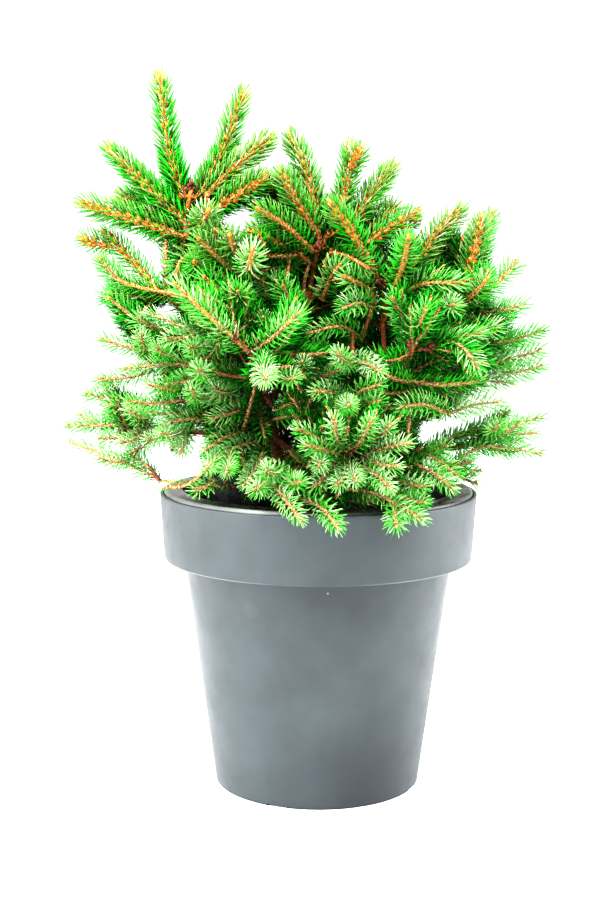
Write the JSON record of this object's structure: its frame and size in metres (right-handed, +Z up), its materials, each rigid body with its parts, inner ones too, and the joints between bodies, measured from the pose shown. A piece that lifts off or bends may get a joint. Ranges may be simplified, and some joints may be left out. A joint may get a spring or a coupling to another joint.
{
  "type": "potted nana black spruce",
  "caption": "Dwarf nana black spruce with a leaning trunk and short needled shoots, in a grey plastic pot with a wide band.",
  "frame": {"origin": "centre of the grey pot's flat underside, on the surface that it stands on", "axes": "+Z up along the pot's axis, -Y towards the front that the picture shows, +X to its right"},
  "size_m": [0.2951, 0.2411, 0.4297],
  "materials": {
    "outer_pot_plastic": "satin",
    "grower_pot_plastic": "gloss",
    "peat": "matte",
    "bark": "matte",
    "needles": "matte"
  },
  "bodies": {
    "root": {"back_left_low": "needles", "back_left_side": "needles", "back_left_top": "needles", "back_low": "needles", "back_right_low": "needles", "back_right_top": "needles", "back_top": "needles", "bough_back": "bark", "bough_back_left": "bark", "bough_back_right": "bark", "bough_centre": "bark", "bough_front": "bark", "bough_front_low": "bark", "bough_front_right": "bark", "bough_left_low": "bark", "bough_left_mid": "bark", "bough_right_crown": "bark", "bough_right_leader": "bark", "bough_right_low": "bark", "centre_back": "needles", "centre_front": "needles", "centre_right": "needles", "centre_top": "needles", "crown_back": "needles", "crown_front": "needles", "crown_left": "needles", "crown_right": "needles", "crown_top": "needles", "front_big_left": "needles", "front_big_right": "needles", "front_fan": "needles", "front_middle": "needles", "front_nose": "needles", "front_right_face": "needles", "front_right_low": "needles", "front_right_side": "needles", "grower_pot": "grower_pot_plastic", "inner_left": "needles", "inner_right": "needles", "leader_face": "needles", "leader_front": "needles", "leader_top": "needles", "left_front": "needles", "left_low": "needles", "left_mid": "needles", "left_outer": "needles", "left_rim": "needles", "left_top": "needles", "left_upper": "needles", "over_rim": "needles", "pot": "outer_pot_plastic", "right_crown_back": "needles", "right_crown_side": "needles", "right_crown_top": "needles", "right_front": "needles", "right_mid": "needles", "right_outer": "needles", "right_tip": "needles", "soil": "peat", "trunk": "bark"}
  },
  "joints": []
}
